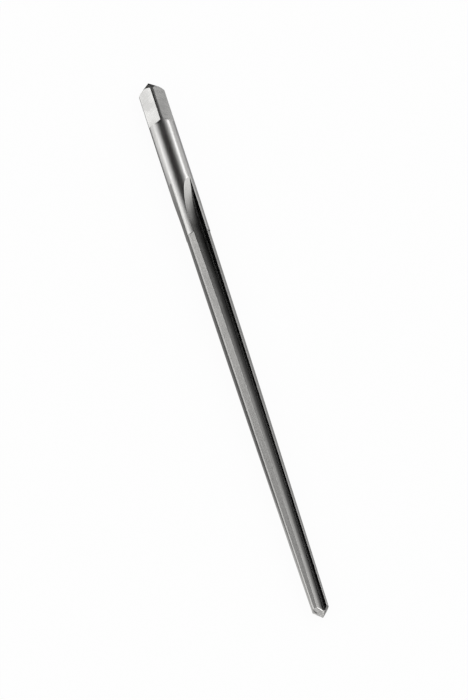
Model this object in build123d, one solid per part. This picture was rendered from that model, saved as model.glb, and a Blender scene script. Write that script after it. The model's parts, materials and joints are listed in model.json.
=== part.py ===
"""Hand taper reamer with four straight flutes, lying on a flat surface as it comes to rest.

The tool is first modelled level, with its axis on X: the square end's point is at X = 0
and the cutting tip at +X. Angles round the axis are counted from straight up (+Z)
towards +Y. At the end it is laid down at its rest angle, with the origin at the centre of
its footprint.
"""
import math
import os

from build123d import *

# Shank and driving square, in millimetres
shank_diameter = 4.0
square_across_flats = 3.15
square_length = 6.0
square_shoulder_radius = 0.35
plain_length = 19.5

# Pointed ends, included angle in degrees
shank_point_angle = 90.0
tip_point_angle = 90.0

# Cutting taper
taper_length = 62.0
taper_ratio = 50.0
tip_diameter = 2.70

# Flutes: where each cutting edge stands round the axis, in degrees, unevenly spaced
# so that the tool doesn't chatter
edge_angles = (-53.0, 43.0, 135.0, 219.0)
flute_floor_slope = 10.2
flute_root_radius = 0.16
flute_lead_in = 1.0
wheel_radius = 35.0

# The root of a flute bows along the tool: it is highest this far into the taper
bow_middle_length = 18.5
web_radius = 1.265
web_radius_at_tip = 0.75

# The flute that faces down when the tool lies still, counted from 0, and how many
# steps the search for its rest angle takes
resting_flute = 3
rest_search_steps = 60

# Lands behind each cutting edge: a narrow round margin, then a flat relief
margin_angle = 8.0
relief_angle = 34.0
relief_drop_at_shank = 0.01
relief_drop_at_tip = 0.05

# How far the relief cutter runs on past the heel, as a share of its way to the heel
relief_overreach = 0.6

# Room that each cutter keeps outside the blank
clearance = 1.0

# Derived sizes
shank_radius = shank_diameter / 2
tip_radius = tip_diameter / 2
large_end_radius = tip_radius + taper_length / taper_ratio / 2
shank_point_length = shank_radius / math.tan(math.radians(shank_point_angle / 2))
tip_point_length = tip_radius / math.tan(math.radians(tip_point_angle / 2))
square_end = shank_point_length + square_length
taper_start = square_end + plain_length
taper_end = taper_start + taper_length
tool_length = taper_end + tip_point_length
flute_start = taper_start - flute_lead_in
cutter_top = shank_radius + clearance
floor_fall_rate = math.tan(math.radians(flute_floor_slope))

# The bow of a flute's root is an arc, and the wheel lifts out on a tangent to it
bow_middle = taper_start + bow_middle_length
bow_radius = (taper_end - bow_middle) ** 2 / (2 * (web_radius - web_radius_at_tip))
bow_centre_height = web_radius - bow_radius
start_turn = math.asin((bow_middle - flute_start) / bow_radius)
wheel_station = flute_start - wheel_radius * math.sin(start_turn)
wheel_height = bow_centre_height + (bow_radius + wheel_radius) * math.cos(start_turn)


def turned_blank():
    """The round blank: point, parallel shank, a fine step, ground taper and point."""
    outline = Polyline(
        (0, 0),
        (shank_point_length, shank_radius),
        (taper_start, shank_radius),
        (taper_start, large_end_radius),
        (taper_end, tip_radius),
        (tool_length, 0),
        close=True,
    )
    return revolve(make_face(outline), Axis.X)


def square_flat():
    """What the wheel takes off the top of the shank to leave one flat of the square."""
    flat_height = square_across_flats / 2
    side = Polyline(
        (-clearance, flat_height),
        (square_end, flat_height),
        (square_end, cutter_top),
        (-clearance, cutter_top),
        close=True,
    )
    section = make_face(side)
    corner = section.vertices().sort_by_distance((square_end, flat_height, 0))[0]
    section = fillet(corner, square_shoulder_radius)
    return extrude(Plane.XZ * section, amount=cutter_top, both=True)


def section_plane(station):
    """A plane across the axis, with its own X along +Y and its own Y along +Z."""
    return Plane(origin=(station, 0, 0), x_dir=(0, 1, 0), z_dir=(1, 0, 0))


def polar(radius, angle):
    """A point of a section from its distance to the axis and its angle from up."""
    return (radius * math.sin(math.radians(angle)), radius * math.cos(math.radians(angle)))


def flute():
    """The space of one flute, its rake face standing straight up on the axis.

    A grinding wheel runs along the tool with a straight rake face on one side and a
    gently sloping floor on the other. The floor bows along the tool, and the wheel's
    own round lifts it out of the blank at the shank.
    """
    far_side = -cutter_top
    floor_fall = cutter_top * floor_fall_rate
    outline = Polyline(
        (0, web_radius),
        (0, cutter_top),
        (far_side, cutter_top),
        (far_side, web_radius - floor_fall),
        close=True,
    )
    section = make_face(outline)
    root = section.vertices().sort_by_distance((0, web_radius, 0))[0]
    section = section_plane(bow_middle) * fillet(root, flute_root_radius)
    bow_axis = Axis((bow_middle, 0, bow_centre_height), (0, 1, 0))
    bow_turn = start_turn + math.asin((tool_length + clearance - bow_middle) / bow_radius)
    wheel_axis = Axis((wheel_station, 0, wheel_height), (0, 1, 0))
    wheel_rise = cutter_top + wheel_radius - wheel_height + floor_fall
    wheel_turn = math.acos(1 - wheel_rise / wheel_radius)
    section = section.rotate(bow_axis, -math.degrees(start_turn))
    along = revolve(section, bow_axis, math.degrees(bow_turn))
    lift_out = revolve(section, wheel_axis, math.degrees(wheel_turn))
    return along + lift_out


def relief_section(station, radius, drop):
    """What is ground off behind a margin at one station, its cutting edge straight up."""
    start_x, start_y = polar(radius, margin_angle)
    heel_x, heel_y = polar(radius - drop, relief_angle)
    reach = 1 + relief_overreach
    end_x = start_x + (heel_x - start_x) * reach
    end_y = start_y + (heel_y - start_y) * reach
    outside = 1 + clearance / radius
    outline = Polyline(
        (start_x, start_y),
        (end_x, end_y),
        (end_x * outside, end_y * outside),
        (start_x * outside, start_y * outside),
        close=True,
    )
    return section_plane(station) * make_face(outline)


def relief():
    """The flat ground behind one margin, from the start of the taper past the tip."""
    overrun = tip_point_length
    end_radius = tip_radius - overrun / taper_ratio / 2
    fall = (relief_drop_at_tip - relief_drop_at_shank) / taper_length
    first = relief_section(taper_start, large_end_radius, relief_drop_at_shank)
    last = relief_section(
        taper_end + overrun, end_radius, relief_drop_at_tip + fall * overrun
    )
    return loft([first, last], ruled=True)


def heel_point(station, pitch):
    """Where the floor of a flute meets the relief of the land before it.

    The flute's rake face stands straight up, and the land's cutting edge is pitch
    degrees before it.
    """
    to_tip = taper_end - station
    radius = tip_radius + to_tip / taper_ratio / 2
    drop_change = relief_drop_at_shank - relief_drop_at_tip
    drop = relief_drop_at_tip + drop_change * to_tip / taper_length
    web = bow_centre_height + math.sqrt(bow_radius**2 - (station - bow_middle) ** 2)
    relief_x, relief_y = polar(radius, margin_angle - pitch)
    far_x, far_y = polar(radius - drop, relief_angle - pitch)
    rise = (far_y - relief_y) / (far_x - relief_x)
    heel_x = (relief_y - rise * relief_x - web) / (floor_fall_rate - rise)
    return heel_x, web + floor_fall_rate * heel_x


def rest_line(turn):
    """Where the tool would stand if it had only the shank and one cutting edge's end.

    Down is turn radians off that cutting edge. Returned are the station where the
    shank stands, just short of the flute's lift-out, and how far below the axis the
    floor is there and at the end of the taper.
    """
    cut_radius = wheel_radius + shank_radius * math.sin(turn) * floor_fall_rate
    depth = wheel_height - shank_radius * math.cos(turn)
    shank_station = wheel_station - math.sqrt(cut_radius**2 - depth**2)
    return shank_station, shank_radius, tip_radius * math.cos(turn)


def heel_depth(turn, pitch):
    """How far the heel of the land before would reach below that line at most."""
    shank_station, shank_depth, tip_depth = rest_line(turn)
    deepest = -shank_radius
    for step in range(rest_search_steps + 1):
        station = taper_start + taper_length * step / rest_search_steps
        heel_x, heel_y = heel_point(station, pitch)
        share = (station - shank_station) / (taper_end - shank_station)
        line = shank_depth + (tip_depth - shank_depth) * share
        deepest = max(deepest, heel_y * math.cos(turn) - heel_x * math.sin(turn) - line)
    return deepest


def rest_attitude():
    """How the tool turns and tips to lie still, with the lowest flute facing down.

    It stands on the end of a cutting edge, on the heel of the land before it, and on
    the round of the shank just short of that flute's lift-out.
    """
    lowest, before = edge_angles[resting_flute], edge_angles[resting_flute - 1]
    least, most = 0.0, math.radians(lowest - before) / 2
    for _ in range(rest_search_steps):
        turn = (least + most) / 2
        if heel_depth(turn, lowest - before) < 0:
            least = turn
        else:
            most = turn
    shank_station, shank_depth, tip_depth = rest_line(turn)
    roll = lowest - math.degrees(turn) - 180
    pitch = math.atan2(shank_depth - tip_depth, taper_end - shank_station)
    return roll, math.degrees(pitch)


def taper_reamer():
    """The whole tool, level, with its axis on X."""
    tool = turned_blank()
    for corner in range(4):
        tool -= Rot(X=45 + 90 * corner) * square_flat()
    one_relief = relief()
    one_flute = flute()
    for angle in edge_angles:
        tool -= Rot(X=-angle) * one_relief
    for angle in edge_angles:
        tool -= Rot(X=-angle) * one_flute
    return tool


roll, pitch = rest_attitude()
tool = Rot(Y=pitch) * Rot(X=roll) * taper_reamer()
footprint = tool.bounding_box()
tool = Pos(-footprint.center().X, -footprint.center().Y, -footprint.min.Z) * tool
print("rest roll", round(roll, 4), "pitch", round(pitch, 4))
print("valid", tool.is_valid, "solids", len(tool.solids()), "volume", round(tool.volume, 3))
os.makedirs("parts", exist_ok=True)
export_step(tool, "parts/taper_reamer.step")
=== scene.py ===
"""Looks of a straight-fluted taper reamer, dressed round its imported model.

The tool is built level, with its axis on X and its square end's point at X = 0, in rings
of points that follow its flutes, lands, margins, square and pointed ends. It is then laid
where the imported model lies. Angles round the axis count from up towards +Y.
"""

import json
import math

import bmesh
import bpy
from mathutils import Matrix, Vector
from mathutils.kdtree import KDTree


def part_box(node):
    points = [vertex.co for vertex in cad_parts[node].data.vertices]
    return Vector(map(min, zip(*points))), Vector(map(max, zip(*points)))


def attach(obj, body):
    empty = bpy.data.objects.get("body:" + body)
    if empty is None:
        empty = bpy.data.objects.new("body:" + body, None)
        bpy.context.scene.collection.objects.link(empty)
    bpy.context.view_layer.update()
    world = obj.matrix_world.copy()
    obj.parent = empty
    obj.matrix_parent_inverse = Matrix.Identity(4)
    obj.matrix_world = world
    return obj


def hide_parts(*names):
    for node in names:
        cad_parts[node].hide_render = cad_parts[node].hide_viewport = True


bl_info = {
    "name": "Taper Reamer",
    "version": (1, 0, 0),
    "blender": (4, 5, 0),
    "location": "3D View > Sidebar > Reamer",
    "description": "Builds a straight-fluted taper reamer on a plain studio floor",
    "category": "Add Mesh",
}

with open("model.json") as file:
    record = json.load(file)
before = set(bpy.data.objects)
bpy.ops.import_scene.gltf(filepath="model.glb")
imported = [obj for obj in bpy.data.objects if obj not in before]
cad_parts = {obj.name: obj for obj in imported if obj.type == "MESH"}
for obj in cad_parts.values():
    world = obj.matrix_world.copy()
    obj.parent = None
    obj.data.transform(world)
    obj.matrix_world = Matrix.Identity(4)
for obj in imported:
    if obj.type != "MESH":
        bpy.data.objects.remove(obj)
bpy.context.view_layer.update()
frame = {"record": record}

NODE = "taper_reamer"
MM = 0.001

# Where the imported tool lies: its shank mount gives the axis
shank_mount = next(m for m in frame["record"]["mounts"] if m["name"] == "shank")
AXIS = -Vector(shank_mount["axis"]).normalized()
AXIS_POINT = Vector(shank_mount["pos_m"])
AXIS_START = AXIS_POINT + AXIS * ((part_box(NODE)[0].x - AXIS_POINT.x) / AXIS.x)
SHANK_RADIUS = shank_mount["dims"]["r_mm"] * MM
TOOL_LENGTH = (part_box(NODE)[1].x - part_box(NODE)[0].x) / AXIS.x

# Points round one ring, for each land and the flute after it
MARGIN_POINTS = 6
RELIEF_POINTS = 12
FLOOR_POINTS = 18
ROOT_POINTS = 10
RAKE_POINTS = 8
SECTOR_POINTS = MARGIN_POINTS + RELIEF_POINTS + FLOOR_POINTS + ROOT_POINTS + RAKE_POINTS
FLUTES = 4
RING_POINTS = FLUTES * SECTOR_POINTS

# Rings along each stretch of the tool
FACET_RINGS = 12
FLAT_ARC_RINGS = 24
SQUARE_RINGS = 8
SHOULDER_RINGS = 12
SHANK_RINGS = 16
LIFT_OUT_RINGS = 110
LEAD_IN_RINGS = 5
TAPER_RINGS = 62
TIP_RINGS = 60

# The first ring stands this far from the square end's point
FIRST_RING = 0.03 * MM

# Halvings of the search for a heel, and the farthest one, as a share of the shank's radius
HEEL_HALVINGS = 40
FARTHEST_HEEL = 1.2

# What each face of a ring belongs to
SHANK, FLAT, MARGIN, RELIEF, FLUTE, RAKE, POINT, TIP = range(8)

# Marks on the mesh that the finishes read
UV_NAME = "around_and_along"
PLACE_NAME = "level_place"
EDGE_NAME = "edge_distance"
HOLLOW_NAME = "hollow"
EDGE_ANGLE = math.radians(25)
SHARP_ANGLE = math.radians(11)

# Points nearer than this are one point
MERGE_DISTANCE = 1e-7

# The last ring of the shank is cut this far short of the step
SHORT_OF_STEP = 1e-9

# Turn of the Anisotropic Rotation that draws reflections out along the tool
LENGTHWISE = 0.25

# The camera's sensor in millimetres, and how near and far it sees in metres
SENSOR_WIDTH = 36.0
SEES_FROM = 0.01
SEES_TO = 20.0


class ReamerSizes(bpy.types.PropertyGroup):
    """Sizes of the tool, in metres and radians."""

    square_across_flats: bpy.props.FloatProperty(
        name="Square across flats", description="Width of the driving square",
        default=3.15 * MM, subtype="DISTANCE", precision=5)
    square_length: bpy.props.FloatProperty(
        name="Square length", description="Length of the square behind the point",
        default=6.0 * MM, subtype="DISTANCE", precision=5)
    shoulder_radius: bpy.props.FloatProperty(
        name="Shoulder radius", description="Round where a flat runs out at the shank",
        default=0.35 * MM, subtype="DISTANCE", precision=5)
    plain_length: bpy.props.FloatProperty(
        name="Plain length", description="Shank from the square to the taper",
        default=19.5 * MM, subtype="DISTANCE", precision=5)
    taper_length: bpy.props.FloatProperty(
        name="Taper length", description="Length of the cutting taper",
        default=62.0 * MM, subtype="DISTANCE", precision=5)
    taper_ratio: bpy.props.FloatProperty(
        name="Taper ratio", description="Length over which the diameter grows by one",
        default=50.0)
    tip_diameter: bpy.props.FloatProperty(
        name="Tip diameter", description="Diameter where the taper ends",
        default=2.70 * MM, subtype="DISTANCE", precision=5)
    edge_angles: bpy.props.FloatVectorProperty(
        name="Cutting edges", description="Where each cutting edge stands round the axis",
        default=[math.radians(a) for a in (-53.0, 43.0, 135.0, 219.0)], size=4,
        subtype="NONE")
    web: bpy.props.FloatProperty(
        name="Web", description="Height of a flute's root where it is highest",
        default=1.265 * MM, subtype="DISTANCE", precision=5)
    web_at_tip: bpy.props.FloatProperty(
        name="Web at tip", description="Height of a flute's root at the tip",
        default=0.75 * MM, subtype="DISTANCE", precision=5)
    bow_middle_length: bpy.props.FloatProperty(
        name="Bow middle", description="How far into the taper the web is highest",
        default=18.5 * MM, subtype="DISTANCE", precision=5)
    floor_slope: bpy.props.FloatProperty(
        name="Floor slope", description="How far a flute's floor falls from its root",
        default=math.radians(10.2), subtype="ANGLE")
    root_radius: bpy.props.FloatProperty(
        name="Root radius", description="Round between the rake face and the floor",
        default=0.16 * MM, subtype="DISTANCE", precision=5)
    flute_lead_in: bpy.props.FloatProperty(
        name="Flute lead-in", description="Full flute before the taper starts",
        default=1.0 * MM, subtype="DISTANCE", precision=5)
    wheel_radius: bpy.props.FloatProperty(
        name="Wheel radius", description="Grinding wheel that lifts out at the shank",
        default=35.0 * MM, subtype="DISTANCE", precision=5)
    margin_angle: bpy.props.FloatProperty(
        name="Margin", description="Round margin behind a cutting edge",
        default=math.radians(8.0), subtype="ANGLE")
    relief_angle: bpy.props.FloatProperty(
        name="Relief", description="Where the drop of the relief is measured",
        default=math.radians(34.0), subtype="ANGLE")
    relief_drop_at_shank: bpy.props.FloatProperty(
        name="Relief drop at shank", description="Drop of the relief at the shank end",
        default=0.01 * MM, subtype="DISTANCE", precision=6)
    relief_drop_at_tip: bpy.props.FloatProperty(
        name="Relief drop at tip", description="Drop of the relief at the tip",
        default=0.05 * MM, subtype="DISTANCE", precision=6)
    rest_roll: bpy.props.FloatProperty(
        name="Rest roll", description="Turn about the axis as the tool lies",
        default=math.radians(7.6677), subtype="ANGLE")


class ReamerFinish(bpy.types.PropertyGroup):
    """Colours and gloss of the ground steel."""

    steel: bpy.props.FloatVectorProperty(
        name="Steel", description="Colour of freshly ground high speed steel",
        default=(0.74, 0.735, 0.72), size=3, subtype="COLOR", min=0.0, max=1.0)
    relief_steel: bpy.props.FloatVectorProperty(
        name="Relief steel", description="Colour of the margins and the reliefs",
        default=(0.55, 0.545, 0.53), size=3, subtype="COLOR", min=0.0, max=1.0)
    flute_steel: bpy.props.FloatVectorProperty(
        name="Flute steel", description="Colour of the flutes' floors and of the tip",
        default=(0.42, 0.416, 0.405), size=3, subtype="COLOR", min=0.0, max=1.0)
    point_steel: bpy.props.FloatVectorProperty(
        name="Point steel", description="Colour of the dark cone behind the square",
        default=(0.28, 0.277, 0.272), size=3, subtype="COLOR", min=0.0, max=1.0)
    # Painted shade: the roots and rake faces, and the deep part of each flute, are given this
    # near black steel.
    root_shade_steel: bpy.props.FloatVectorProperty(
        name="Root steel", description="Colour of the dark roots and rake faces",
        default=(0.10, 0.099, 0.097), size=3, subtype="COLOR", min=0.0, max=1.0)
    # Painted highlight: a bright band along sharp edges, standing in for the light that the
    # edges catch.
    worn_steel: bpy.props.FloatVectorProperty(
        name="Edge highlight steel", description="Colour of the bright band along sharp edges",
        default=(0.85, 0.845, 0.83), size=3, subtype="COLOR", min=0.0, max=1.0)


class ReamerStage(bpy.types.PropertyGroup):
    """Floor, light and camera round the tool."""

    floor_size: bpy.props.FloatProperty(
        name="Floor size", description="Length of one side of the floor",
        default=4.0, subtype="DISTANCE")
    floor_colour: bpy.props.FloatVectorProperty(
        name="Floor colour", description="Colour of the floor under the tool",
        default=(0.9, 0.9, 0.9), size=3, subtype="COLOR", min=0.0, max=1.0)
    floor_whiteness: bpy.props.FloatProperty(
        name="Floor whiteness", description="Share of plain white over the floor's shading",
        default=0.94, subtype="FACTOR", min=0.0, max=1.0)
    soft_light: bpy.props.FloatProperty(
        name="Soft light", description="Strength of the even light from all round",
        default=0.9, min=0.0)
    white_light: bpy.props.FloatProperty(
        name="White light", description="Brightness of the background behind the tool",
        default=1.0, min=0.0)
    left_glow: bpy.props.FloatProperty(
        name="Left softbox", description="Brightness of the softbox on the left",
        default=2.2, min=0.0)
    right_glow: bpy.props.FloatProperty(
        name="Right softbox", description="Brightness of the softbox on the right",
        default=3.4, min=0.0)
    dark_glow: bpy.props.FloatProperty(
        name="Dark cards", description="Brightness of the cards that reflect as black",
        default=0.01, min=0.0)
    contact_glow: bpy.props.FloatProperty(
        name="Contact card", description="Brightness under the square, where it is dim",
        default=0.12, min=0.0)
    shade_glow: bpy.props.FloatProperty(
        name="Grey cards", description="Brightness of the grey cards at the sides",
        default=0.36, min=0.0)
    camera_swing: bpy.props.FloatProperty(
        name="Camera swing", description="Turn of the camera about the tool from above",
        default=math.radians(-15.7), subtype="ANGLE")
    camera_tilt: bpy.props.FloatProperty(
        name="Camera tilt", description="Lean of the view towards the tool's tip",
        default=math.radians(25.8), subtype="ANGLE")
    camera_slant: bpy.props.FloatProperty(
        name="Camera slant", description="Slant of the tool in the picture",
        default=math.radians(18.1), subtype="ANGLE")
    camera_distance: bpy.props.FloatProperty(
        name="Camera distance", description="From the camera to the point it looks at",
        default=495.0 * MM, subtype="DISTANCE", precision=4)
    aim_along: bpy.props.FloatProperty(
        name="Aim along", description="Point of the axis that the camera looks at",
        default=47.05 * MM, subtype="DISTANCE", precision=5)
    aim_aside: bpy.props.FloatProperty(
        name="Aim aside", description="How far beside the axis the camera looks",
        default=-0.2 * MM, subtype="DISTANCE", precision=5)
    lens: bpy.props.FloatProperty(
        name="Lens", description="Focal length in millimetres on a 36 mm wide sensor",
        default=175.3, subtype="DISTANCE_CAMERA")


class Shape:
    """Lengths and radii that follow from the tool's sizes."""

    def __init__(self, sizes):
        self.sizes = sizes
        self.edges = list(sizes.edge_angles)
        self.tip_radius = sizes.tip_diameter / 2
        self.square_end = SHANK_RADIUS + sizes.square_length
        self.taper_start = self.square_end + sizes.plain_length
        self.taper_end = self.taper_start + sizes.taper_length
        self.flute_start = self.taper_start - sizes.flute_lead_in
        self.tool_end = self.taper_end + self.tip_radius
        self.slope = math.tan(sizes.floor_slope)
        self.bow_middle = self.taper_start + sizes.bow_middle_length
        run = self.taper_end - self.bow_middle
        bow_radius = run**2 / (2 * (sizes.web - sizes.web_at_tip))
        start_turn = math.asin((self.bow_middle - self.flute_start) / bow_radius)
        self.bow_radius = bow_radius
        self.bow_centre = sizes.web - bow_radius
        self.wheel_station = self.flute_start - sizes.wheel_radius * math.sin(start_turn)
        self.wheel_centre = self.bow_centre
        self.wheel_centre += (bow_radius + sizes.wheel_radius) * math.cos(start_turn)
        self.lift_out = self.find_lift_out()

    def taper_radius(self, x):
        """Radius of the cutting taper, carried on past the tip."""
        return self.tip_radius + (self.taper_end - x) / self.sizes.taper_ratio / 2

    def blank_radius(self, x):
        """Radius of the round blank before the flats, reliefs and flutes are ground."""
        if x <= SHANK_RADIUS:
            return x
        if x <= self.taper_start:
            return SHANK_RADIUS
        return min(self.taper_radius(x), self.tool_end - x)

    def find_lift_out(self):
        """Where the wheel first touches the shank."""
        turn = self.sizes.floor_slope
        cut_radius = self.sizes.wheel_radius + SHANK_RADIUS * math.sin(turn) * self.slope
        depth = self.wheel_centre - SHANK_RADIUS * math.cos(turn)
        return self.wheel_station - math.sqrt(cut_radius**2 - depth**2)

    def swept(self, height, x):
        """Height of a point of the flute's profile after the wheel has come to x."""
        if x < self.flute_start:
            cut_radius = self.sizes.wheel_radius + self.sizes.web - height
            run = x - self.wheel_station
            return self.wheel_centre - math.sqrt(cut_radius**2 - run**2)
        run = x - self.bow_middle
        return self.bow_centre + math.sqrt((height - self.bow_centre) ** 2 - run**2)

    def hollow(self, x, radius):
        """How deep a point of a flute lies: 0 at the blank's surface, 1 at the root."""
        if x < self.lift_out:
            return 0.0
        blank = self.blank_radius(x)
        run = x - self.bow_middle
        web = self.sizes.web - run**2 / (2 * self.bow_radius)
        return min(max((blank - radius) / (blank - web), 0.0), 1.0) if blank > web else 0.0

    def floor(self, reach, x):
        """Height of a flute's floor at this distance from its rake face."""
        return self.swept(self.sizes.web - reach * self.slope, x)


def spread(count):
    """Shares from 0 up to 1, closer together at both ends, without the last."""
    return [(1 - math.cos(math.pi * i / count)) / 2 for i in range(count)]


def polar(radius, angle):
    """Sideways and upright distance of a point at this angle from up."""
    return radius * math.sin(angle), radius * math.cos(angle)


def land_edge(shape, x, pitch):
    """How far outside the land before a flute a point of that flute is."""
    sizes = shape.sizes
    if x < shape.taper_start:
        return lambda side, up: math.hypot(side, up) - SHANK_RADIUS
    share = (x - shape.taper_start) / sizes.taper_length
    drop = sizes.relief_drop_at_shank
    drop += (sizes.relief_drop_at_tip - drop) * share
    radius = shape.taper_radius(x)
    start = Vector(polar(radius, sizes.margin_angle - pitch))
    far = Vector(polar(radius - drop, sizes.relief_angle - pitch))
    along = (far - start).normalized()
    outward = Vector((-along.y, along.x))
    return lambda side, up: (Vector((side, up)) - start).dot(outward)


def heel_reach(shape, x, pitch):
    """Distance from the rake face to the heel, where the floor meets the land before."""
    outside = land_edge(shape, x, pitch)
    inner = SHANK_RADIUS * math.sin(shape.sizes.floor_slope)
    outer = SHANK_RADIUS * FARTHEST_HEEL
    if outside(-inner, shape.floor(inner, x)) >= 0:
        return inner
    for _ in range(HEEL_HALVINGS):
        middle = (inner + outer) / 2
        if outside(-middle, shape.floor(middle, x)) < 0:
            inner = middle
        else:
            outer = middle
    return inner


def flute_profile(shape, x, pitch):
    """Points of one flute from its heel to its cutting edge, the rake face upright."""
    sizes = shape.sizes
    slope = sizes.floor_slope
    root = sizes.root_radius
    centre_up = sizes.web + root / math.cos(slope) - root * shape.slope
    floor_end = root - root * math.sin(slope)
    heel = heel_reach(shape, x, pitch)
    points = []
    for share in spread(FLOOR_POINTS):
        reach = heel + (floor_end - heel) * share
        points.append((-reach, shape.floor(reach, x)))
    for i in range(ROOT_POINTS):
        turn = (slope - math.pi / 2) * (1 - i / ROOT_POINTS)
        height = centre_up + root * math.sin(turn)
        points.append((-root + root * math.cos(turn), shape.swept(height, x)))
    bottom = shape.swept(centre_up, x)
    top = SHANK_RADIUS if x < shape.taper_start else shape.taper_radius(x)
    for share in spread(RAKE_POINTS):
        points.append((0.0, bottom + max(top - bottom, 0.0) * share))
    return points


def fluted_ring(shape, x, tapered):
    """Radius and angle of each point of a ring where the tool has flutes."""
    sizes = shape.sizes
    limit = shape.tool_end - x if tapered else SHANK_RADIUS
    radius = shape.taper_radius(x) if tapered else SHANK_RADIUS
    cut = x if tapered else min(x, shape.taper_start - SHORT_OF_STEP)
    ring = []
    for land in range(FLUTES):
        edge = shape.edges[land]
        rake = shape.edges[(land + 1) % FLUTES]
        rake += 2 * math.pi if rake < edge else 0
        profile = flute_profile(shape, cut, rake - edge)
        side, up = profile[0]
        for i in range(MARGIN_POINTS):
            ring.append((radius, edge + sizes.margin_angle * i / MARGIN_POINTS))
        margin_end = edge + sizes.margin_angle
        heel_angle = rake + math.atan2(side, up)
        start = Vector(polar(radius, margin_end))
        heel = Vector(polar(math.hypot(side, up), heel_angle))
        for share in spread(RELIEF_POINTS):
            if tapered:
                point = start.lerp(heel, share)
                angle = math.atan2(point.x, point.y)
                angle += 2 * math.pi * round((heel_angle - angle) / (2 * math.pi))
                ring.append((point.length, angle))
            else:
                ring.append((radius, margin_end + (heel_angle - margin_end) * share))
        for side, up in profile:
            ring.append((math.hypot(side, up), rake + math.atan2(side, up)))
    return [(min(r, limit), angle) for r, angle in ring]


def square_ring(radius, flat_height):
    """Radius and angle of each point of a ring of the driving square."""
    half = math.acos(min(1.0, flat_height / radius))
    count = SECTOR_POINTS // 2
    ring = []
    for quarter in range(FLUTES):
        middle = -math.pi / 4 + quarter * math.pi / 2
        for share in spread(count):
            side = flat_height * math.tan(half) * (2 * share - 1)
            ring.append((math.hypot(flat_height, side),
                         middle + math.atan2(side, flat_height)))
        corner = math.pi / 2 - 2 * half
        for i in range(SECTOR_POINTS - count):
            ring.append((radius, middle + half + corner * i / (SECTOR_POINTS - count)))
    return ring


def ring_kinds_square():
    """What the faces after each point of a square ring belong to."""
    count = SECTOR_POINTS // 2
    return ([FLAT] * count + [SHANK] * (SECTOR_POINTS - count)) * FLUTES


def ring_kinds_fluted(tapered):
    """What the faces after each point of a fluted ring belong to."""
    land = [MARGIN] * MARGIN_POINTS + [RELIEF] * RELIEF_POINTS
    if not tapered:
        land = [SHANK] * len(land)
    flute = [FLUTE] * FLOOR_POINTS + [RAKE] * (ROOT_POINTS + RAKE_POINTS)
    return (land + flute) * FLUTES


def tip_kinds(ring, cone_radius, kinds):
    """The same kinds, but for the faces that lie on the cone of the tip."""
    on_cone = [radius > cone_radius - MERGE_DISTANCE for radius, _ in ring]
    return [TIP if here and after else kind
            for here, after, kind in zip(on_cone, on_cone[1:] + on_cone[:1], kinds)]


def steps(start, end, count):
    """Evenly spaced stations from start to end, without the end."""
    return [start + (end - start) * i / count for i in range(count)]


def square_rings(shape):
    """Rings of the point and the driving square, up to the round shank."""
    flat = shape.sizes.square_across_flats / 2
    shoulder = shape.sizes.shoulder_radius
    kinds = ring_kinds_square()
    point_kinds = [POINT if kind == SHANK else FLAT for kind in kinds]
    rings = []
    for x in steps(FIRST_RING, flat, FACET_RINGS):
        rings.append((x, square_ring(x, x), [POINT] * RING_POINTS))
    for x in steps(flat, SHANK_RADIUS, FLAT_ARC_RINGS):
        rings.append((x, square_ring(x, flat), point_kinds))
    for x in steps(SHANK_RADIUS, shape.square_end - shoulder, SQUARE_RINGS):
        rings.append((x, square_ring(SHANK_RADIUS, flat), kinds))
    for i in range(SHOULDER_RINGS + 1):
        turn = math.pi / 2 * i / SHOULDER_RINGS
        x = shape.square_end - shoulder + shoulder * math.sin(turn)
        height = flat + shoulder * (1 - math.cos(turn))
        rings.append((x, square_ring(SHANK_RADIUS, height), kinds))
    return rings


def shank_rings(shape):
    """Rings of the round shank, whose points slide round to where the flutes need them."""
    first = square_ring(SHANK_RADIUS, SHANK_RADIUS)
    last = fluted_ring(shape, shape.lift_out, False)
    stretch = shape.lift_out - shape.square_end
    rings = []
    for i in range(SHANK_RINGS + 1):
        share = i / SHANK_RINGS
        ring = []
        for (_, a), (_, b) in zip(first, last):
            ring.append((SHANK_RADIUS, a + (b - a) * share))
        rings.append((shape.square_end + stretch * share, ring, [SHANK] * RING_POINTS))
    return rings


def all_rings(shape):
    """Each ring as station, points and what the faces after it belong to."""
    rings = square_rings(shape) + shank_rings(shape)
    kinds = ring_kinds_fluted(False)
    for x in steps(shape.lift_out, shape.flute_start, LIFT_OUT_RINGS)[1:]:
        rings.append((x, fluted_ring(shape, x, False), kinds))
    for x in steps(shape.flute_start, shape.taper_start, LEAD_IN_RINGS) + [shape.taper_start]:
        rings.append((x, fluted_ring(shape, x, False), kinds))
    # Painted shade: the step where the taper starts takes the dark rake steel, which draws a
    # thin dark line there.
    step_shade_kinds = [RAKE if kind == SHANK else kind for kind in kinds]
    rings[-1] = (*rings[-1][:2], step_shade_kinds)
    kinds = ring_kinds_fluted(True)
    for x in steps(shape.taper_start, shape.taper_end, TAPER_RINGS):
        rings.append((x, fluted_ring(shape, x, True), kinds))
    for share in spread(TIP_RINGS):
        x = shape.taper_end + (shape.tool_end - shape.taper_end) * share
        ring = fluted_ring(shape, x, True)
        rings.append((x, ring, tip_kinds(ring, shape.tool_end - x, kinds)))
    return rings


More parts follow.
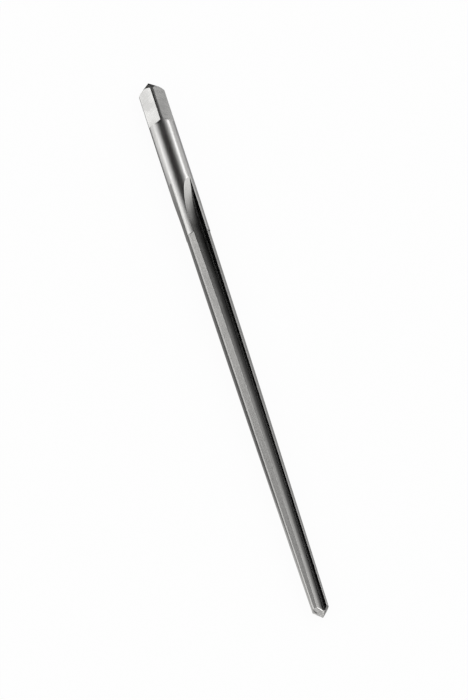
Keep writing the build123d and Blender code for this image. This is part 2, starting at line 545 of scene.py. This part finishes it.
def skin_rings(mesh, rings, uv_layer):
    """Joins each ring to the next, and returns the first and last row of points."""
    rows = []
    alongs = []
    along = 0.0
    for x, ring, _ in rings:
        row = [mesh.verts.new((x, *polar(radius, angle))) for radius, angle in ring]
        if rows:
            gaps = [(a.co - b.co).length for a, b in zip(rows[-1], row)]
            along += sum(gaps) / len(gaps)
        rows.append(row)
        alongs.append(along)
    for number in range(len(rows) - 1):
        (_, ring, kinds), (_, next_ring, _) = rings[number], rings[number + 1]
        low, high = alongs[number], alongs[number + 1]
        for i in range(RING_POINTS):
            after = (i + 1) % RING_POINTS
            wrap = 2 * math.pi if after == 0 else 0.0
            face = mesh.faces.new((rows[number][i], rows[number + 1][i],
                                   rows[number + 1][after], rows[number][after]))
            face.material_index = kinds[i]
            face.smooth = True
            turns = (ring[i][1], next_ring[i][1], next_ring[after][1] + wrap,
                     ring[after][1] + wrap)
            for loop, turn, v in zip(face.loops, turns, (low, high, high, low)):
                loop[uv_layer].uv = (turn / (2 * math.pi), v / TOOL_LENGTH)
    return (rows[0], alongs[0]), (rows[-1], alongs[-1])


def close_end(mesh, row, along, end, kind, uv_layer):
    """Fans the last row of points to the point of a pointed end."""
    outward = 1 if kind == TIP else -1
    apex = mesh.verts.new((end, 0, 0))
    for i in range(RING_POINTS):
        corners = (row[i], row[(i + 1) % RING_POINTS], apex)
        face = mesh.faces.new(corners if outward < 0 else corners[::-1])
        face.material_index = kind
        face.smooth = True
        for loop in face.loops:
            turn = i if loop.vert is row[i] else i + 1
            run = abs(end - row[i].co.x) * outward if loop.vert is apex else 0.0
            loop[uv_layer].uv = (turn / RING_POINTS, (along + run) / TOOL_LENGTH)


def edge_distances(mesh, step):
    """How far each point lies from the nearest sharp edge, except those of the step."""
    sharp = {vertex for edge in mesh.edges if edge.calc_face_angle(0.0) > EDGE_ANGLE
             and any(abs(end.co.x - step) > MERGE_DISTANCE for end in edge.verts)
             for vertex in edge.verts}
    tree = KDTree(len(sharp))
    for number, vertex in enumerate(sharp):
        tree.insert(vertex.co, number)
    tree.balance()
    return [tree.find(vertex.co)[2] for vertex in mesh.verts]


def tool_mesh(shape):
    """The mesh of the whole tool, level, with its marks for the finishes."""
    mesh = bmesh.new()
    uv_layer = mesh.loops.layers.uv.new(UV_NAME)
    first, last = skin_rings(mesh, all_rings(shape), uv_layer)
    close_end(mesh, *first, 0.0, POINT, uv_layer)
    close_end(mesh, *last, shape.tool_end, TIP, uv_layer)
    bmesh.ops.remove_doubles(mesh, verts=mesh.verts, dist=MERGE_DISTANCE)
    bmesh.ops.dissolve_degenerate(mesh, edges=mesh.edges, dist=MERGE_DISTANCE)
    bmesh.ops.recalc_face_normals(mesh, faces=mesh.faces)
    distances = edge_distances(mesh, shape.taper_start)
    data = bpy.data.meshes.new("taper_reamer_looks")
    mesh.to_mesh(data)
    mesh.free()
    places = [value for vertex in data.vertices for value in vertex.co]
    hollows = [shape.hollow(vertex.co.x, math.hypot(vertex.co.y, vertex.co.z))
               for vertex in data.vertices]
    data.attributes.new(PLACE_NAME, "FLOAT_VECTOR", "POINT").data.foreach_set("vector", places)
    data.attributes.new(EDGE_NAME, "FLOAT", "POINT").data.foreach_set("value", distances)
    data.attributes.new(HOLLOW_NAME, "FLOAT", "POINT").data.foreach_set("value", hollows)
    data.set_sharp_from_angle(angle=SHARP_ANGLE)
    return data


def new_group(name, inputs, outputs):
    """A shader node group with these sockets, ready for its nodes."""
    group = bpy.data.node_groups.new(name, "ShaderNodeTree")
    for label, kind, value in inputs:
        socket = group.interface.new_socket(label, in_out="INPUT", socket_type=kind)
        socket.default_value = value
    for label, kind in outputs:
        group.interface.new_socket(label, in_out="OUTPUT", socket_type=kind)
    entry = group.nodes.new("NodeGroupInput")
    leave = group.nodes.new("NodeGroupOutput")
    return group, entry, leave


def mark(tree, name):
    """The node that reads one of the mesh's marks."""
    node = tree.nodes.new("ShaderNodeAttribute")
    node.attribute_name = name
    return node


def calculate(tree, operation, *values):
    """A Math node, fed by sockets or plain numbers, and its result."""
    node = tree.nodes.new("ShaderNodeMath")
    node.operation = operation
    for socket, value in zip(node.inputs, values):
        if isinstance(value, bpy.types.NodeSocket):
            tree.links.new(value, socket)
        else:
            socket.default_value = value
    return node.outputs[0]


def fade(tree, value, start, end, low, high):
    """A smooth change from low to high as the value goes from start to end."""
    node = tree.nodes.new("ShaderNodeMapRange")
    node.interpolation_type = "SMOOTHSTEP"
    for label, number in (("Value", value), ("From Min", start), ("From Max", end),
                          ("To Min", low), ("To Max", high)):
        if isinstance(number, bpy.types.NodeSocket):
            tree.links.new(number, node.inputs[label])
        else:
            node.inputs[label].default_value = number
    return node.outputs[0]


def blend(tree, share, first, second):
    """A colour between two others."""
    node = tree.nodes.new("ShaderNodeMix")
    node.data_type = "RGBA"
    for label, socket in (("Factor_Float", share), ("A_Color", first), ("B_Color", second)):
        entry = next(one for one in node.inputs if one.identifier == label)
        tree.links.new(socket, entry)
    return next(one for one in node.outputs if one.identifier == "Result_Color")


def noise_value(tree, place, scale, detail, roughness):
    """The value of a noise texture at a place."""
    noise = tree.nodes.new("ShaderNodeTexNoise")
    noise.inputs["Scale"].default_value = scale
    noise.inputs["Detail"].default_value = detail
    noise.inputs["Roughness"].default_value = roughness
    tree.links.new(place, noise.inputs["Vector"])
    return noise.outputs["Fac"]


def grinding_lines_group():
    """Fine scratches that a grinding wheel leaves, long one way and narrow across."""
    tree, entry, leave = new_group(
        "grinding_lines",
        (("Line Size", "NodeSocketVector", (MM, MM, MM)),
         ("Slant", "NodeSocketVector", (0, 0, 0))),
        (("Lines", "NodeSocketFloat"),),
    )
    place = mark(tree, PLACE_NAME)
    stretch = tree.nodes.new("ShaderNodeMapping")
    stretch.vector_type = "TEXTURE"
    tree.links.new(place.outputs["Vector"], stretch.inputs["Vector"])
    tree.links.new(entry.outputs["Slant"], stretch.inputs["Rotation"])
    tree.links.new(entry.outputs["Line Size"], stretch.inputs["Scale"])
    lines = noise_value(tree, stretch.outputs["Vector"], scale=1.0, detail=3.0, roughness=0.6)
    tree.links.new(lines, leave.inputs["Lines"])
    return tree


def smudges_group():
    """Soft patches where the tool was handled, broken up by finer ones."""
    tree, entry, leave = new_group(
        "smudges",
        (("Patch Size", "NodeSocketFloat", 3 * MM),),
        (("Smudges", "NodeSocketFloat"),),
    )
    place = mark(tree, PLACE_NAME)
    scaled = tree.nodes.new("ShaderNodeVectorMath")
    scaled.operation = "SCALE"
    tree.links.new(place.outputs["Vector"], scaled.inputs[0])
    tree.links.new(calculate(tree, "DIVIDE", 1.0, entry.outputs["Patch Size"]),
                   scaled.inputs["Scale"])
    patches = noise_value(tree, scaled.outputs["Vector"], scale=1.0, detail=4.0,
                          roughness=0.55)
    tree.links.new(fade(tree, patches, start=0.42, end=0.68, low=0.0, high=1.0),
                   leave.inputs["Smudges"])
    return tree


def painted_edge_highlight_group():
    """A mask of the painted highlight along sharp edges: a narrow bright band, broken up
    unevenly.
    """
    tree, entry, leave = new_group(
        "worn_edges",
        (("Band Width", "NodeSocketFloat", 0.06 * MM),),
        (("Wear", "NodeSocketFloat"),),
    )
    place = mark(tree, PLACE_NAME)
    distance = mark(tree, EDGE_NAME)
    breakup = noise_value(tree, place.outputs["Vector"], scale=1.5 / MM, detail=2.0,
                        roughness=0.5)
    uneven = fade(tree, breakup, start=0.3, end=0.6, low=0.25, high=1.0)
    band = fade(tree, distance.outputs["Fac"], start=0.0, end=entry.outputs["Band Width"],
                low=1.0, high=0.0)
    tree.links.new(calculate(tree, "MULTIPLY", band, uneven), leave.inputs["Wear"])
    return tree


def painted_hollow_shade_group():
    """A mask of the deep part of a flute, where painted shade darkens the steel towards the
    root.
    """
    tree, entry, leave = new_group(
        "dark_hollows",
        (("Start", "NodeSocketFloat", 0.36), ("End", "NodeSocketFloat", 1.0)),
        (("Depth", "NodeSocketFloat"),),
    )
    hollow = mark(tree, HOLLOW_NAME)
    depth = fade(tree, hollow.outputs["Fac"], start=entry.outputs["Start"],
                 end=entry.outputs["End"], low=0.0, high=1.0)
    tree.links.new(depth, leave.inputs["Depth"])
    return tree


def steel_surface_group():
    """Puts lines, smudges, the painted edge highlight and the painted shade of the hollows
    together as colour, roughness and height.
    """
    tree, entry, leave = new_group(
        "steel_surface",
        (("Steel", "NodeSocketColor", (0.7, 0.7, 0.7, 1)),
         ("Worn Steel", "NodeSocketColor", (0.8, 0.8, 0.8, 1)),
         ("Deep Steel", "NodeSocketColor", (0.1, 0.1, 0.1, 1)),
         ("Roughness", "NodeSocketFloat", 0.3),
         ("Lines", "NodeSocketFloat", 0.5),
         ("Smudges", "NodeSocketFloat", 0.0),
         ("Wear", "NodeSocketFloat", 0.0),
         ("Depth", "NodeSocketFloat", 0.0),
         ("Line Contrast", "NodeSocketFloat", 0.2),
         ("Line Roughness", "NodeSocketFloat", 0.1),
         ("Smudge Darkening", "NodeSocketFloat", 0.1),
         ("Smudge Roughness", "NodeSocketFloat", 0.05)),
        (("Colour", "NodeSocketColor"), ("Roughness", "NodeSocketFloat"),
         ("Height", "NodeSocketFloat")),
    )
    take = entry.outputs
    swing = calculate(tree, "SUBTRACT", take["Lines"], 0.5)
    streaks = calculate(tree, "MULTIPLY", swing, take["Line Contrast"])
    patches = calculate(tree, "MULTIPLY", take["Smudges"], take["Smudge Darkening"])
    tone = calculate(tree, "SUBTRACT", calculate(tree, "ADD", 1.0, streaks), patches)
    shaded = tree.nodes.new("ShaderNodeVectorMath")
    shaded.operation = "SCALE"
    # Painted shade: the steel fades to the near black shade steel deep in each flute.
    steel = blend(tree, take["Depth"], take["Steel"], take["Deep Steel"])
    tree.links.new(steel, shaded.inputs[0])
    tree.links.new(tone, shaded.inputs["Scale"])
    # Painted highlight along the sharp edges.
    worn = blend(tree, take["Wear"], shaded.outputs["Vector"], take["Worn Steel"])
    tree.links.new(worn, leave.inputs["Colour"])
    rough_lines = calculate(tree, "MULTIPLY", swing, take["Line Roughness"])
    rough_patches = calculate(tree, "MULTIPLY", take["Smudges"], take["Smudge Roughness"])
    rough = calculate(tree, "ADD", take["Roughness"], rough_lines)
    tree.links.new(calculate(tree, "ADD", rough, rough_patches), leave.inputs["Roughness"])
    tree.links.new(take["Lines"], leave.inputs["Height"])
    return tree


def make_groups():
    """The effects that every finish of the tool shares, each built once."""
    return {tree.name: tree for tree in (grinding_lines_group(), smudges_group(),
                                         painted_edge_highlight_group(), painted_hollow_shade_group(),
                                         steel_surface_group())}


def place_group(material, tree, values):
    """Places a group in a material with the material's own values."""
    node = material.node_tree.nodes.new("ShaderNodeGroup")
    node.node_tree = tree
    for label, value in values.items():
        node.inputs[label].default_value = value
    return node


def ground_steel(name, groups, colour, worn, deep, look):
    """A ground finish: its lines, smudges, painted edge highlight and painted shade in the
    hollows over anisotropic steel.
    """
    material = bpy.data.materials.new(name)
    material.use_nodes = True
    nodes, links = material.node_tree.nodes, material.node_tree.links
    shader = nodes["Principled BSDF"]
    shader.inputs["Metallic"].default_value = 1.0
    shader.inputs["Anisotropic"].default_value = look["anisotropy"]
    shader.inputs["Anisotropic Rotation"].default_value = look["spread_turn"]
    tangent = nodes.new("ShaderNodeTangent")
    tangent.direction_type = "UV_MAP"
    tangent.uv_map = UV_NAME
    links.new(tangent.outputs["Tangent"], shader.inputs["Tangent"])
    lines = place_group(material, groups["grinding_lines"],
                        {"Line Size": look["line_size"], "Slant": look["slant"]})
    smudges = place_group(material, groups["smudges"], {"Patch Size": look["patch_size"]})
    edge_highlight_node = place_group(material, groups["worn_edges"], {"Band Width": look["band_width"]})
    # Painted shade deep in the flutes.
    hollows = place_group(material, groups["dark_hollows"], {})
    surface = place_group(material, groups["steel_surface"], {
        "Steel": (*colour, 1), "Worn Steel": (*worn, 1), "Deep Steel": (*deep, 1),
        "Roughness": look["roughness"],
        "Line Contrast": look["line_contrast"], "Line Roughness": look["line_roughness"],
        "Smudge Darkening": look["smudge_darkening"],
        "Smudge Roughness": look["smudge_roughness"]})
    bump = nodes.new("ShaderNodeBump")
    bump.inputs["Distance"].default_value = look["line_depth"]
    links.new(lines.outputs["Lines"], surface.inputs["Lines"])
    links.new(smudges.outputs["Smudges"], surface.inputs["Smudges"])
    links.new(edge_highlight_node.outputs["Wear"], surface.inputs["Wear"])
    links.new(hollows.outputs["Depth"], surface.inputs["Depth"])
    links.new(surface.outputs["Colour"], shader.inputs["Base Color"])
    links.new(surface.outputs["Roughness"], shader.inputs["Roughness"])
    links.new(surface.outputs["Height"], bump.inputs["Height"])
    links.new(bump.outputs["Normal"], shader.inputs["Normal"])
    return material


def look(**changes):
    """The values of one finish: those given, over what a ground flute has."""
    values = {
        "roughness": 0.18,
        "anisotropy": 0.3,
        "spread_turn": 0.0,
        "line_size": (6.0 * MM, 0.05 * MM, 0.05 * MM),
        "slant": (0.0, 0.0, 0.0),
        "line_depth": 0.0006 * MM,
        "line_contrast": 0.4,
        "line_roughness": 0.1,
        "patch_size": 3.0 * MM,
        "smudge_darkening": 0.06,
        "smudge_roughness": 0.04,
        "band_width": 0.06 * MM,
    }
    values.update(changes)
    return values


def turned_look(**changes):
    """The values of a finish whose lines run round the tool, and spread light along it."""
    values = {
        "spread_turn": LENGTHWISE,
        "line_size": (0.05 * MM, 4.0 * MM, 4.0 * MM),
        "line_contrast": 0.2,
    }
    values.update(changes)
    return look(**values)


def finish_looks():
    """Each finish of the tool: its name, which steel it shows, and its values."""
    square = turned_look(
        roughness=0.26, anisotropy=0.6, line_size=(0.28 * MM, 3.0 * MM, 3.0 * MM),
        slant=(math.radians(8), math.radians(-8), math.radians(12)), line_depth=0.0016 * MM,
        line_contrast=0.4, line_roughness=0.2, smudge_darkening=0.16)
    return {
        SHANK: ("shank_steel", "steel", turned_look(roughness=0.36, anisotropy=0.9)),
        FLAT: ("square_steel", "steel", square),
        MARGIN: ("margin_steel", "relief_steel", turned_look(roughness=0.25)),
        RELIEF: ("relief_steel", "relief_steel", look(line_contrast=0.35)),
        FLUTE: ("flute_steel", "flute_steel", look()),
        # The roots and rake faces take the painted shade steel.
        RAKE: ("rake_steel", "root_shade_steel", look(line_contrast=0.3)),
        POINT: ("point_steel", "point_steel", turned_look(roughness=0.38)),
        TIP: ("tip_steel", "flute_steel", turned_look(
            roughness=0.26, line_size=(0.12 * MM, 1.5 * MM, 1.5 * MM), line_contrast=1.1,
            line_depth=0.002 * MM, band_width=0.03 * MM)),
    }


class REAMER_OT_tool(bpy.types.Operator):
    """Builds the reamer with its ground finishes"""

    bl_idname = "reamer.tool"
    bl_label = "Add the reamer"

    def execute(self, context):
        shape = Shape(context.scene.reamer_sizes)
        finish = context.scene.reamer_finish
        tool = bpy.data.objects.new("reamer_tool", tool_mesh(shape))
        context.scene.collection.objects.link(tool)
        pitch = math.asin(-AXIS.z)
        turn = Matrix.Rotation(pitch, 4, "Y") @ Matrix.Rotation(shape.sizes.rest_roll, 4, "X")
        tool.data.transform(Matrix.Translation(AXIS_START) @ turn)
        groups = make_groups()
        for name, steel, values in finish_looks().values():
            colours = [tuple(getattr(finish, one))
                       for one in (steel, "worn_steel", "root_shade_steel")]
            tool.data.materials.append(ground_steel(name, groups, *colours, values))
        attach(tool, "root")
        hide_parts(NODE)
        return {"FINISHED"}


class REAMER_OT_stage(bpy.types.Operator):
    """Builds the floor, the light and the camera"""

    bl_idname = "reamer.stage"
    bl_label = "Add the stage"

    def execute(self, context):
        stage = context.scene.reamer_stage
        make_floor(context.scene, stage)
        make_world(context.scene, stage)
        make_cards(context.scene, stage)
        make_camera(context.scene, stage)
        return {"FINISHED"}


def seen_as_background(tree):
    """A mask of the rays that show the background: the camera's, and reflections."""
    rays = tree.nodes.new("ShaderNodeLightPath").outputs
    shine = calculate(tree, "MAXIMUM", rays["Is Glossy Ray"], rays["Is Transmission Ray"])
    return calculate(tree, "MAXIMUM", rays["Is Camera Ray"], shine)


def flat_sheet(name, half_width, half_height):
    """The mesh of a flat rectangle round its own middle."""
    data = bpy.data.meshes.new(name)
    corners = [(-half_width, -half_height, 0), (half_width, -half_height, 0),
               (half_width, half_height, 0), (-half_width, half_height, 0)]
    data.from_pydata(corners, [], [(0, 1, 2, 3)])
    return data


def mix_shaders(tree, output_type, share, first, second):
    """Ends a node tree in a mix of two shaders by a share."""
    output = tree.nodes.new(output_type)
    mix = tree.nodes.new("ShaderNodeMixShader")
    tree.links.new(share, mix.inputs[0])
    tree.links.new(first.outputs[0], mix.inputs[1])
    tree.links.new(second.outputs[0], mix.inputs[2])
    tree.links.new(mix.outputs[0], output.inputs["Surface"])


def empty_tree(owner):
    """The node tree of a material or world, with nothing in it yet."""
    owner.use_nodes = True
    owner.node_tree.nodes.clear()
    return owner.node_tree


def make_floor(scene, stage):
    """A pale floor that looks white and keeps a faint shadow."""
    half = stage.floor_size / 2
    floor = bpy.data.objects.new("floor", flat_sheet("floor", half, half))
    scene.collection.objects.link(floor)
    material = bpy.data.materials.new("floor_white")
    tree = empty_tree(material)
    diffuse = tree.nodes.new("ShaderNodeBsdfDiffuse")
    diffuse.inputs["Color"].default_value = (*stage.floor_colour, 1)
    glow = tree.nodes.new("ShaderNodeEmission")
    share = calculate(tree, "MULTIPLY", seen_as_background(tree), stage.floor_whiteness)
    mix_shaders(tree, "ShaderNodeOutputMaterial", share, diffuse, glow)
    floor.data.materials.append(material)


def make_world(scene, stage):
    """White behind the tool and in its reflections, soft light elsewhere."""
    scene.world = bpy.data.worlds.new("studio")
    tree = empty_tree(scene.world)
    parts = []
    for strength in (stage.soft_light, stage.white_light):
        light = tree.nodes.new("ShaderNodeBackground")
        light.inputs["Color"].default_value = (1, 1, 1, 1)
        light.inputs["Strength"].default_value = strength
        parts.append(light)
    mix_shaders(tree, "ShaderNodeOutputWorld", seen_as_background(tree), *parts)


def facing_and_across(turn):
    """Square to the tool's axis: the way out at a turn from above, and the way beside it."""
    up = (Vector((0, 0, 1)) - AXIS * AXIS.z).normalized()
    side = up.cross(AXIS)
    return (up * math.cos(turn) + side * math.sin(turn),
            side * math.cos(turn) - up * math.sin(turn))


def card_material(name, glow, fade_ways, fade_between):
    """A card that fades out from its middle, between an inner and an outer distance."""
    material = bpy.data.materials.new(name)
    tree = empty_tree(material)
    place = tree.nodes.new("ShaderNodeTexCoord")
    keep = tree.nodes.new("ShaderNodeVectorMath")
    keep.operation = "MULTIPLY"
    keep.inputs[1].default_value = fade_ways
    length = tree.nodes.new("ShaderNodeVectorMath")
    length.operation = "LENGTH"
    clear = tree.nodes.new("ShaderNodeBsdfTransparent")
    shine = tree.nodes.new("ShaderNodeEmission")
    shine.inputs["Strength"].default_value = glow
    tree.links.new(place.outputs["Object"], keep.inputs[0])
    tree.links.new(keep.outputs[0], length.inputs[0])
    share = fade(tree, length.outputs["Value"], *fade_between, low=1.0, high=0.0)
    mix_shaders(tree, "ShaderNodeOutputMaterial", share, clear, shine)
    return material


def make_card(scene, name, card, place, right, up):
    """A flat card that only reflections see."""
    sheet = bpy.data.objects.new(name, flat_sheet(name, *card["half_size"]))
    sheet.data.materials.append(
        card_material(name, card["glow"], card["fade_ways"], card["fade_between"]))
    turn = Matrix((right, up, right.cross(up))).transposed().to_4x4()
    sheet.matrix_world = Matrix.Translation(place) @ turn
    sheet.visible_camera = False
    sheet.visible_diffuse = False
    sheet.visible_shadow = False
    scene.collection.objects.link(sheet)


def standing_cards(stage):
    """Cards that stand round the tool, in metres and degrees.

    Each stands out from the tool's middle at a turn from the camera's side, then aside
    and along. It is brightest or darkest up to the first distance of fade_between and
    gone at the second, counted the ways that fade_ways keeps. A crosswise card stands
    square to the tool, the others along it.
    """
    softbox = {"out": 0.8, "aside": 0.0, "along": 0.45, "half_size": (0.32, 1.1),
               "fade_ways": (1, 0.25, 0), "fade_between": (0.12, 0.28)}
    return {
        "over_card": {
            "glow": stage.dark_glow, "turn": 0, "out": 0.9, "aside": -0.06, "along": -0.4,
            "half_size": (1.2, 1.5), "fade_ways": (1, 0, 0), "fade_between": (0.2, 1.12)},
        "behind_card": {
            "glow": stage.dark_glow, "turn": 0, "out": 0.1, "aside": 0.5, "along": -0.6,
            "half_size": (1.6, 1.6), "fade_ways": (1, 1, 0), "fade_between": (0.35, 1.5),
            "crosswise": True},
        "left_softbox": {**softbox, "glow": stage.left_glow, "turn": -72},
        "right_softbox": {**softbox, "glow": stage.right_glow, "turn": 63},
        "left_shade_card": {
            "glow": stage.shade_glow, "turn": -38, "out": 0.78, "aside": 0.0, "along": -0.25,
            "half_size": (0.18, 0.18), "fade_ways": (1, 1, 0), "fade_between": (0.03, 0.17)},
    }


def floor_cards(stage):
    """Cards that lie just above the floor by the tool, in metres: painted shade on the floor
    round the tool, which only the tool's reflections see.

    A place counts from below the square's point towards the tip, aside and up.
    """
    return {
        "left_ground_card": {
            "glow": stage.shade_glow, "place": (0.046, -0.009, 0.00005),
            "half_size": (0.0065, 0.1), "fade_ways": (0, 1, 0), "fade_between": (0.018, 0.042)},
        "contact_card": {
            "glow": stage.contact_glow, "place": (0.01, -0.0024, 0.00004),
            "half_size": (0.0015, 0.02), "fade_ways": (0.3, 1, 0),
            "fade_between": (0.006, 0.018)},
        "back_ground_card": {
            "glow": stage.dark_glow, "place": (-0.005, 0.0, 0.00006),
            "half_size": (0.012, 0.0065), "fade_ways": (1, 1, 0),
            "fade_between": (0.006, 0.012)},
        "right_ground_card": {
            "glow": stage.shade_glow, "place": (0.038, 0.032, 0.00005),
            "half_size": (0.0295, 0.12), "fade_ways": (0, 1, 0), "fade_between": (0.07, 0.12)},
    }


def make_cards(scene, stage):
    """Cards round the tool, which only its reflections see."""
    middle = AXIS_START + AXIS * TOOL_LENGTH / 2
    for name, card in standing_cards(stage).items():
        out, beside = facing_and_across(stage.camera_swing + math.radians(card["turn"]))
        place = middle + out * card["out"] + beside * card["aside"] + AXIS * card["along"]
        up = out if card.get("crosswise") else -AXIS
        make_card(scene, name, card, place, beside, up)
    for name, card in floor_cards(stage).items():
        place = Vector((AXIS_START.x, 0, 0)) + Vector(card["place"])
        make_card(scene, name, card, place, Vector((0, 1, 0)), Vector((-1, 0, 0)))


def make_camera(scene, stage):
    """The camera, turned and placed as the photograph was taken."""
    facing, across = facing_and_across(stage.camera_swing)
    tilt, slant = stage.camera_tilt, stage.camera_slant
    back = AXIS * math.sin(tilt) + facing * math.cos(tilt)
    down = AXIS * math.cos(tilt) - facing * math.sin(tilt)
    image_up = -down * math.cos(slant) + across * math.sin(slant)
    image_right = down * math.sin(slant) + across * math.cos(slant)
    target = AXIS_START + AXIS * stage.aim_along + across * stage.aim_aside
    place = target + back * stage.camera_distance
    camera = bpy.data.objects.new("camera", bpy.data.cameras.new("camera"))
    camera.data.lens = stage.lens
    camera.data.sensor_width = SENSOR_WIDTH
    camera.data.clip_start = SEES_FROM
    camera.data.clip_end = SEES_TO
    turn = Matrix((image_right, image_up, back)).transposed().to_4x4()
    camera.matrix_world = Matrix.Translation(place) @ turn
    scene.collection.objects.link(camera)
    scene.camera = camera


class REAMER_PT_panel(bpy.types.Panel):
    """Lists the reamer's pieces in the sidebar"""

    bl_idname = "REAMER_PT_panel"
    bl_label = "Taper Reamer"
    bl_space_type = "VIEW_3D"
    bl_region_type = "UI"
    bl_category = "Reamer"

    def draw(self, context):
        for operator in OPERATORS:
            self.layout.operator(operator.bl_idname)


OPERATORS = (REAMER_OT_tool, REAMER_OT_stage)
CLASSES = (ReamerSizes, ReamerFinish, ReamerStage, *OPERATORS, REAMER_PT_panel)


def register():
    for one in CLASSES:
        bpy.utils.register_class(one)
    bpy.types.Scene.reamer_sizes = bpy.props.PointerProperty(type=ReamerSizes)
    bpy.types.Scene.reamer_finish = bpy.props.PointerProperty(type=ReamerFinish)
    bpy.types.Scene.reamer_stage = bpy.props.PointerProperty(type=ReamerStage)


def unregister():
    del bpy.types.Scene.reamer_stage
    del bpy.types.Scene.reamer_finish
    del bpy.types.Scene.reamer_sizes
    for one in reversed(CLASSES):
        bpy.utils.unregister_class(one)


def main():
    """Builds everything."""
    register()
    scene = bpy.context.scene
    scene.view_settings.view_transform = "Standard"
    bpy.ops.reamer.tool()
    bpy.ops.reamer.stage()


if __name__ == "__main__":
    main()
